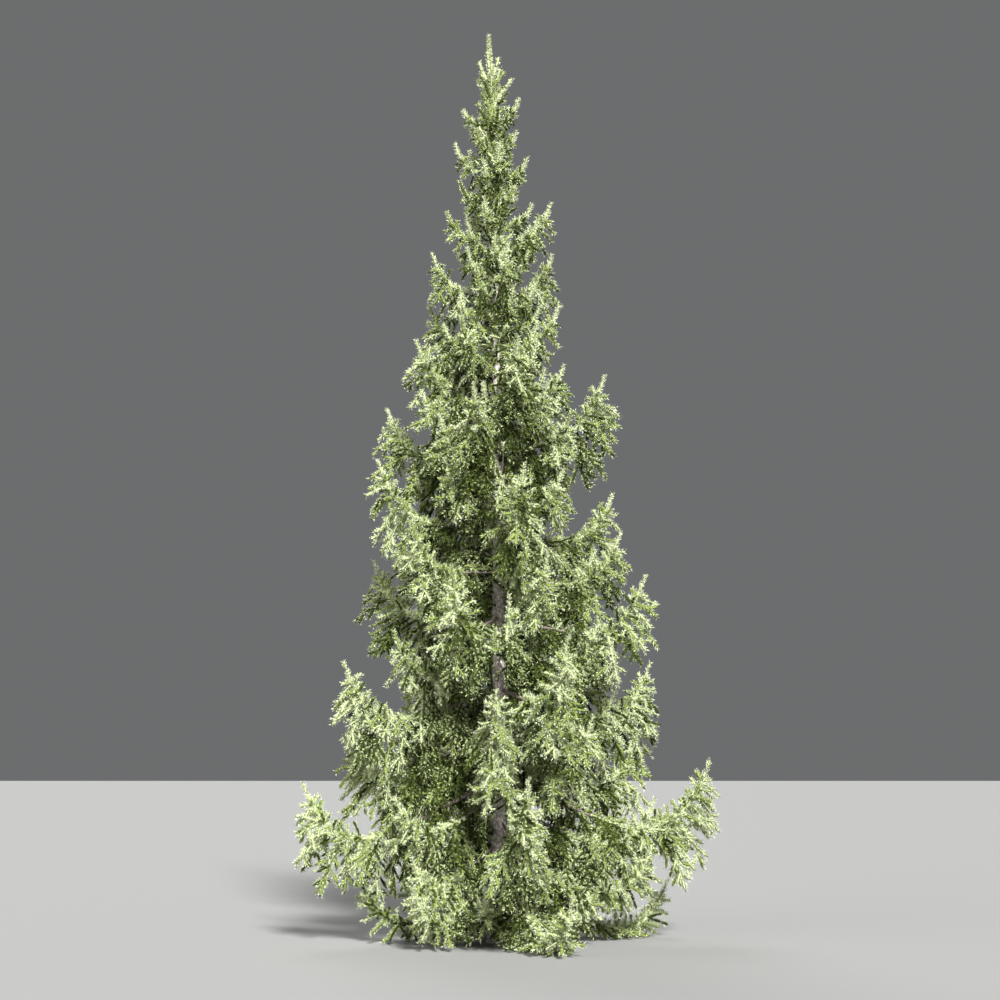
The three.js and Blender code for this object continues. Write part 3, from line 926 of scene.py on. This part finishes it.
# %% [markdown]
# ## Short ways to add shader nodes
# A finish is a tree of shader nodes. Adding a node takes one line to make it, one for each value and one
# for each link, so a few helpers keep the finishes below short enough to read.

# %% Node helpers
NOISE_ROUGHNESS = 0.6


def add_node(tree, kind, **values):
    """A node whose named inputs or settings get these values."""
    node = tree.nodes.new(kind)
    for key, value in values.items():
        name = key.replace("_", " ")
        if name in node.inputs:
            node.inputs[name].default_value = value
        else:
            setattr(node, key, value)
    return node


def noise_node(tree, place, scale_socket, detail):
    """A noise texture at a place, with its scale from a socket."""
    made = add_node(tree, "ShaderNodeTexNoise", Detail=detail, Roughness=NOISE_ROUGHNESS)
    tree.links.new(place, made.inputs["Vector"])
    tree.links.new(scale_socket, made.inputs["Scale"])
    return made


def math_node(tree, operation, first, second):
    """A sum or product of two sockets or numbers."""
    made = tree.nodes.new("ShaderNodeMath")
    made.operation = operation
    for socket, value in zip(made.inputs, (first, second)):
        if isinstance(value, bpy.types.NodeSocket):
            tree.links.new(value, socket)
        else:
            socket.default_value = value
    return made.outputs[0]


print("helpers for any node, for noise and for sums")

# %% [markdown]
# ## Tone that several finishes share
# Nothing on a tree has one even colour. This group takes a colour and makes it patchy: broad patches, as
# from age and light, and a fine grain on top. Needles, twigs and bark all use it, with scales and strengths
# of their own. It is built once as a node group, so a change to it reaches every finish.

# %% Patchy tone group
DARKEST = 0.12
BRIGHTEST = 1.42
NOISE_MIDDLE = 0.5
PATCH_DETAIL = 2
GRAIN_DETAIL = 3


def swing(tree, noise_value, strength):
    """How far a noise is off its middle, times its strength."""
    return math_node(tree, "MULTIPLY", math_node(tree, "ADD", noise_value, -NOISE_MIDDLE), strength)


def patchy_tone_group():
    """A group that makes a colour patchy and puts out that colour and its grain."""
    tree = bpy.data.node_groups.new("patchy tone", "ShaderNodeTree")
    tree.interface.new_socket("Colour", in_out="INPUT", socket_type="NodeSocketColor")
    for name in ("Patch Scale", "Patch Strength", "Grain Scale", "Grain Strength"):
        tree.interface.new_socket(name, in_out="INPUT", socket_type="NodeSocketFloat")
    tree.interface.new_socket("Colour", in_out="OUTPUT", socket_type="NodeSocketColor")
    tree.interface.new_socket("Grain", in_out="OUTPUT", socket_type="NodeSocketFloat")
    given = tree.nodes.new("NodeGroupInput")
    result = tree.nodes.new("NodeGroupOutput")
    place = tree.nodes.new("ShaderNodeTexCoord").outputs["Object"]
    patches = noise_node(tree, place, given.outputs["Patch Scale"], PATCH_DETAIL).outputs["Fac"]
    grain = noise_node(tree, place, given.outputs["Grain Scale"], GRAIN_DETAIL).outputs["Fac"]
    broad = swing(tree, patches, given.outputs["Patch Strength"])
    fine = swing(tree, grain, given.outputs["Grain Strength"])
    change = math_node(tree, "ADD", broad, fine)
    brightness = math_node(tree, "MAXIMUM", math_node(tree, "ADD", change, 1.0), DARKEST)
    brightness = math_node(tree, "MINIMUM", brightness, BRIGHTEST)
    tone = tree.nodes.new("ShaderNodeHueSaturation")
    tree.links.new(given.outputs["Colour"], tone.inputs["Color"])
    tree.links.new(brightness, tone.inputs["Value"])
    tree.links.new(tone.outputs["Color"], result.inputs["Colour"])
    tree.links.new(grain, result.inputs["Grain"])
    return tree


patchy_tone = patchy_tone_group()
print(f"group '{patchy_tone.name}' with {len(patchy_tone.nodes)} nodes")

# %% [markdown]
# ## The finish of the needles
# Young needles at the ends of the shoots are light and yellowish. Needles stay for five years or so, and
# get darker and duller further in. A texture can't tell old from new on a mesh like this, so each spray
# gets one of a few tints as a whole. The darker tints, down to nearly black, are partly older needles and
# partly painted shade of the crown's inside. The underside of a needle has pale bands, which the back of
# a face shows here.

# %% Needle finishes
# from light to nearly black: the dark end is partly older needles and partly painted shade of the crown's
# inside
TINTS = {
    "new needles": (0.66, 0.72, 0.50),
    "light needles": (0.635, 0.705, 0.44),
    "green needles": (0.56, 0.64, 0.31),
    "deep shaded needles": (0.28, 0.355, 0.09),
    "old and shaded needles": (0.045, 0.07, 0.008),
}
PALE_SIDE = 1.25
PALE_LIFT = 0.02
NEEDLE_SPECULAR = 0.25
NEEDLE_TONE = {"Patch Scale": 2.5, "Patch Strength": 0.8, "Grain Scale": 85, "Grain Strength": 4.6}
NEEDLE_ROUGHNESS = (0.5, 0.8)
NEEDLE_BUMP = {"Strength": 0.9, "Distance": 0.02}
FIRST_COLOUR = 6  # these three are the numbers of a Mix node's colour sockets
SECOND_COLOUR = 7
MIXED_COLOUR = 2


def finish(name, tone_values):
    """A material whose base colour runs through the patchy tone group, its shader and the group's node."""
    made = bpy.data.materials.new(name)
    made.use_nodes = True
    tree = made.node_tree
    shader = tree.nodes["Principled BSDF"]
    tone = tree.nodes.new("ShaderNodeGroup")
    tone.node_tree = patchy_tone
    for key, value in tone_values.items():
        tone.inputs[key].default_value = value
    tree.links.new(tone.outputs["Colour"], shader.inputs["Base Color"])
    return made, tree, shader, tone


def roughen(tree, shader, grain, height, roughness_range, bump_values):
    """Roughness that follows the grain within a range, and a bump that follows the height."""
    smoothest, roughest = roughness_range
    change = math_node(tree, "MULTIPLY", grain, roughest - smoothest)
    tree.links.new(math_node(tree, "ADD", change, smoothest), shader.inputs["Roughness"])
    bump = add_node(tree, "ShaderNodeBump", **bump_values)
    tree.links.new(height, bump.inputs["Height"])
    tree.links.new(bump.outputs["Normal"], shader.inputs["Normal"])


def needle_finish(name, colour):
    """One tint of needles: waxy, patchy, and paler on the back."""
    made, tree, shader, tone = finish(name, NEEDLE_TONE)
    shader.inputs["Specular IOR Level"].default_value = NEEDLE_SPECULAR
    sides = tree.nodes.new("ShaderNodeMix")
    sides.data_type = "RGBA"
    pale_colour = [min(PALE_SIDE * part + PALE_LIFT, 1) for part in colour]
    sides.inputs[FIRST_COLOUR].default_value = (*colour, 1)
    sides.inputs[SECOND_COLOUR].default_value = (*pale_colour, 1)
    back = tree.nodes.new("ShaderNodeNewGeometry").outputs["Backfacing"]
    tree.links.new(back, sides.inputs["Factor"])
    tree.links.new(sides.outputs[MIXED_COLOUR], tone.inputs["Colour"])
    grain = tone.outputs["Grain"]
    roughen(tree, shader, grain, grain, NEEDLE_ROUGHNESS, NEEDLE_BUMP)
    return made


needle_finishes = [needle_finish(name, colour) for name, colour in TINTS.items()]
print(f"{len(needle_finishes)} tints of needles")

# %% [markdown]
# ## The needle pieces
# The needles are joined into a few meshes, one for each stretch of the crown, so that none gets too heavy.
# Each stands for the foliage solids of its whorls. A spray's tint follows its depth in the crown, with
# some chance in it: further in it is darker, partly for older needles and partly as painted shade. The
# cores are two tints darker, as little light gets in between the needles.

# %% Needle pieces
ZONES = {  # from which whorl up to which, counted from 0
    "needles_lowest": (-1, 0.6),
    "needles_low": (0.6, 1.4),
    "needles_lower_middle": (1.4, 2.2),
    "needles_middle": (2.2, 3.2),
    "needles_upper_middle": (3.2, 4.6),
    "needles_high": (4.6, 7),
    "needles_top": (7, 20),
}
TINT_SPREAD = 0.9
TINT_BY_DEPTH = 4.4
CORE_DARKER = 2
TINT_SEED = 11

tint_rng = np.random.default_rng(TINT_SEED)
spray_chance = tint_rng.normal(0, TINT_SPREAD, growth.sprays + 1)
# painted shade, partly age: sprays deeper in the crown get darker tints
tint_of_brush = TINT_BY_DEPTH * depths + spray_chance[sprays.astype(int)]
tint_of_brush = np.clip(tint_of_brush, 0, len(TINTS) - 1).astype(int)


def needle_piece(name, low, high):
    """The needles and cores of the whorls from low up to high, as one mesh."""
    chosen = (levels[owner] >= low) & (levels[owner] < high)
    chosen_cores = (levels >= low) & (levels < high)
    corners = needles[chosen].reshape(-1, 3)
    core_corners = cores[chosen_cores].reshape(-1, 3)
    core_starts = len(corners) + cores.shape[1] * np.arange(chosen_cores.sum())
    faces = np.concatenate([np.arange(len(corners)).reshape(-1, 3),
                            (core_starts[:, None, None] + core_face).reshape(-1, 3)])
    # painted shade: a core is two tints darker than its needles, as little light gets in between them
    core_tints = np.minimum(tint_of_brush[chosen_cores] + CORE_DARKER, len(TINTS) - 1)
    tints = np.concatenate([tint_of_brush[owner[chosen]], np.repeat(core_tints, len(core_face))])
    piece = mesh_from(name, np.concatenate([corners, core_corners]), faces)
    for made in needle_finishes:
        piece.data.materials.append(made)
    piece.data.polygons.foreach_set("material_index", tints.astype(np.int32))
    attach(piece, "root")
    nodes = [n for n in mass_nodes + ["foliage_leader"] if low <= level_of(n) < high]
    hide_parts(*nodes)
    print(f"{name}: {chosen.sum()} needles, {len(faces)} faces for {len(nodes)} solids")


for zone, (low, high) in ZONES.items():
    needle_piece(zone, low, high)

# %% [markdown]
# ## The finish of bark and twigs
# Young spruce bark is thin and grey with a pinkish tinge, and flakes off in small round scales that show
# browner beneath. The scales' edges are found with a Voronoi texture: where two cells meet, the distance
# to the edge is zero. Twigs are tan, as their bark is only a year or two old.

# %% Bark finishes
BARK_TONE = {"Patch Scale": 5, "Patch Strength": 0.55, "Grain Scale": 60, "Grain Strength": 0.55}
BARK_ROUGHNESS = (0.68, 0.93)
BARK_BUMP = {"Strength": 0.6, "Distance": 0.004}
CRACK_WIDTH = 0.22
BARKS = {  # colour of the scales, colour of the cracks, scales to the metre, their width over their height
    "trunk bark": ((0.95, 0.88, 0.85), (0.44, 0.34, 0.31), 34, 0.55),
    "bough bark": ((0.33, 0.27, 0.24), (0.12, 0.08, 0.065), 60, 0.8),
    "twig bark": ((0.36, 0.25, 0.15), (0.20, 0.13, 0.08), 120, 1.0),
}


def plate_edges(tree, scale, width_over_height):
    """The distance to the nearest edge between bark scales, from 0 at the edge."""
    place = tree.nodes.new("ShaderNodeMapping")
    place.inputs["Scale"].default_value = (1, 1, width_over_height)
    tree.links.new(tree.nodes.new("ShaderNodeTexCoord").outputs["Object"], place.inputs["Vector"])
    cells = add_node(tree, "ShaderNodeTexVoronoi", feature="DISTANCE_TO_EDGE", Scale=scale)
    tree.links.new(place.outputs["Vector"], cells.inputs["Vector"])
    return cells.outputs["Distance"]


def bark_finish(name, scale_colour, crack_colour, plate_scale, width_over_height):
    """Bark with scales of one colour and cracks of another, raised by a bump."""
    made, tree, shader, tone = finish(name, BARK_TONE)
    edges = plate_edges(tree, plate_scale, width_over_height)
    ramp = tree.nodes.new("ShaderNodeValToRGB")
    ramp.color_ramp.elements[0].color = (*crack_colour, 1)
    ramp.color_ramp.elements[1].color = (*scale_colour, 1)
    ramp.color_ramp.elements[1].position = CRACK_WIDTH
    tree.links.new(edges, ramp.inputs["Fac"])
    tree.links.new(ramp.outputs["Color"], tone.inputs["Colour"])
    grain = tone.outputs["Grain"]
    roughen(tree, shader, grain, math_node(tree, "ADD", edges, grain), BARK_ROUGHNESS, BARK_BUMP)
    return made


trunk_bark, bough_bark, twig_bark = [bark_finish(name, *values) for name, values in BARKS.items()]
print(f"{len(BARKS)} kinds of bark")

# %% [markdown]
# ## Relief on the trunk
# The bark's scales are modelled, not only painted, since their shadows give the trunk its rough look from
# near by. Rings of points crowd together towards the flare. A point in a crack between two scales moves
# in, and broad shallow furrows run up the trunk. Under every bough the trunk swells into a collar.

# %% Trunk with bark
TRUNK_SIDES = 60
TRUNK_RINGS = 420
RING_CROWDING = 1.5
SCALE_SIZE = 0.030
SCALE_STRETCH = 1.8
SCALE_RELIEF = 0.0045
CRACK_STEEPNESS = 3
FURROW_RELIEF = 0.006
FURROW_SCALE = np.array([9.0, 9.0, 3.0])
COLLAR_RELIEF = 0.018
COLLAR_SIZE = 0.06
COLLAR_DROP = 0.01
COLLAR_POWER = 0.5


def scale_height(point, size):
    """The height of the bark's scales at a point, from 0 in a crack to 1 on a scale."""
    place = Vector((point[0] / size, point[1] / size, point[2] / (size * SCALE_STRETCH)))
    near, next_near = noise.voronoi(place)[0][:2]
    return min(1.0, CRACK_STEEPNESS * (next_near - near))


def collars(heights, turns):
    """How far the trunk swells towards the boughs that leave it, for every ring and side."""
    swelling = np.zeros((len(heights), len(turns)))
    for bough in all_boughs:
        strength = bough.reach**COLLAR_POWER
        aside = turn_between(turns, bough.angle)[None] * trunk_radius(heights)[:, None]
        off = np.hypot(heights[:, None] - bough.foot[2] + COLLAR_DROP, aside)
        swelling += np.exp(-((off / (COLLAR_SIZE * strength)) ** 2)) * COLLAR_RELIEF * strength
    return swelling * np.minimum(trunk_radius(heights)[:, None] / STEM_RADIUS, 1)


def barked_trunk():
    """The trunk as a tube of rings with the bark's relief."""
    heights = tree_height * np.linspace(0, 1, TRUNK_RINGS) ** RING_CROWDING
    turns = FULL_TURN * np.arange(TRUNK_SIDES) / TRUNK_SIDES
    outward = level_direction(turns)
    radii = np.stack([trunk_radius(heights, turn) for turn in turns], axis=1)
    smooth = trunk_middle(heights)[:, None] + outward[None] * column(radii)
    flat = smooth.reshape(-1, 3)
    scales = np.array([scale_height(p, SCALE_SIZE) for p in flat]).reshape(radii.shape)
    furrows = np.array([noise.noise(Vector(p)) for p in flat * FURROW_SCALE]).reshape(radii.shape)
    age = np.minimum(radii / STEM_RADIUS, 1)
    relief = age * (SCALE_RELIEF * (scales - 1) + FURROW_RELIEF * furrows)
    points = smooth + outward[None] * column(relief + collars(heights, turns))
    return tube_mesh("trunk_bark", points[None])


trunk_piece = barked_trunk()
trunk_piece.data.materials.append(trunk_bark)
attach(trunk_piece, "root")
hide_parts("trunk")
print(f"{trunk_piece.name}: {len(trunk_piece.data.polygons)} faces")

# %% [markdown]
# ## The wood of the boughs
# Every bough is a tapering tube. Its radius swells and shrinks a little along the way, which keeps it from
# looking like a pipe. Its rings stand at even distances along the curve, so the steep end gets its share.

# %% Boughs with bark
BOUGH_SIDES = 6
BOUGH_RINGS = 22
KNOT_RELIEF = 0.10
KNOT_SEED = 300


def bough_tubes():
    """All boughs' tubes in one array of points."""
    paths, radii = [], []
    for number, bough in enumerate(all_boughs):
        rng = np.random.default_rng(KNOT_SEED + number)
        shares = bough.share_at(np.linspace(bough.length, 0, BOUGH_RINGS))
        paths.append(bough.point(shares))
        radii.append(bough.radius(shares) * (1 + KNOT_RELIEF * rng.normal(0, 1, BOUGH_RINGS)))
    return tube_points(np.stack(paths), np.stack(radii)[:, :, None], BOUGH_SIDES)


bough_piece = tube_mesh("boughs", bough_tubes())
bough_piece.data.materials.append(bough_bark)
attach(bough_piece, "root")
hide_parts(*[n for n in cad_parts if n.startswith("bough_")])
print(f"{bough_piece.name}: {len(bough_piece.data.polygons)} faces")

# %% [markdown]
# ## The wood of the twigs
# Twigs are thin three-sided tubes. They are mostly hidden by their needles, but the inner ones, which have
# lost many needles, show their tan wood.

# %% Twigs
TWIG_SIDES = 3
TWIG_RADII = (0.0042, 0.0016)

twig_paths = np.stack(growth.twigs)
twig_radii = np.linspace(*TWIG_RADII, TWIG_STEPS + 1)[None, :, None]
twig_tubes = tube_points(twig_paths, np.broadcast_to(twig_radii, (*twig_paths.shape[:2], 1)), TWIG_SIDES)
twig_piece = tube_mesh("twigs", twig_tubes)
twig_piece.data.materials.append(twig_bark)
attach(twig_piece, "root")
print(f"{twig_piece.name}: {len(twig_piece.data.polygons)} faces")

# %% [markdown]
# ## Floor and sky
# A plain floor catches the tree's shadow and shows that it stands. It is large, so that it reaches back
# almost to the horizon, as open ground does. An even pale world lights the shaded side.

# %% Floor and world
FLOOR_SIZE = 600
FLOOR_DROP = 0.002
FLOOR_COLOUR = (0.34, 0.34, 0.33, 1)
FLOOR_ROUGHNESS = 0.9
WORLD_COLOUR = (0.93, 0.96, 0.97, 1)
WORLD_STRENGTH = 0.16

bpy.ops.mesh.primitive_plane_add(size=FLOOR_SIZE, location=(0, 0, -FLOOR_DROP))
floor = bpy.context.object
floor.name = "floor"
floor_finish = bpy.data.materials.new("floor")
floor_finish.use_nodes = True
floor_shader = floor_finish.node_tree.nodes["Principled BSDF"]
floor_shader.inputs["Base Color"].default_value = FLOOR_COLOUR
floor_shader.inputs["Roughness"].default_value = FLOOR_ROUGHNESS
floor.data.materials.append(floor_finish)
floor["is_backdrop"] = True

world = bpy.data.worlds.new("world")
world.use_nodes = True
background = world.node_tree.nodes["Background"]
background.inputs["Color"].default_value = WORLD_COLOUR
background.inputs["Strength"].default_value = WORLD_STRENGTH
bpy.context.scene.world = world
bpy.context.scene.view_settings.view_transform = "Standard"
print(f"floor {FLOOR_SIZE} m wide")

# %% [markdown]
# ## Soft studio lights
# A lamp close to a tree this tall would light its foot and its top unevenly. A far one doesn't, so suns
# stand for the studio's lamps here, each with a wide angle that makes its shadows soft. The key gives the
# shoots a light and a dark side, the fill keeps the other side readable, and the one behind draws the
# outline.

# %% Lights
LAMPS = {  # where it stands, its width in degrees, its strength
    "key": ((0.26, -1.0, 0.7), 12, 7.0),
    "fill": ((-1.0, -0.8, 0.45), 50, 0.75),
    "back": ((-0.3, 1.0, 0.9), 30, 0.9),
}

for name, (direction, wide, power) in LAMPS.items():
    lamp = bpy.data.lights.new(name, "SUN")
    lamp.angle = math.radians(wide)
    lamp.energy = power
    holder = bpy.data.objects.new(name, lamp)
    holder.location = Vector(direction) * tree_height
    holder.rotation_euler = Vector(direction).to_track_quat("Z", "Y").to_euler()
    bpy.context.scene.collection.objects.link(holder)
print(f"{len(LAMPS)} lamps")

# %% [markdown]
# ## Sizes, and done
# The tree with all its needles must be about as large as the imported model. Both sizes are written down, so
# that they can be compared.

# %% Finish
grown_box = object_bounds()
sizes = {"packed": [list(corner) for corner in cad_box], "grown": [list(corner) for corner in grown_box]}
for name, (low, high) in sizes.items():
    print(name, "x %.3f to %.3f, y %.3f to %.3f, z %.3f to %.3f" % tuple(
        value for axis in range(3) for value in (low[axis], high[axis])))
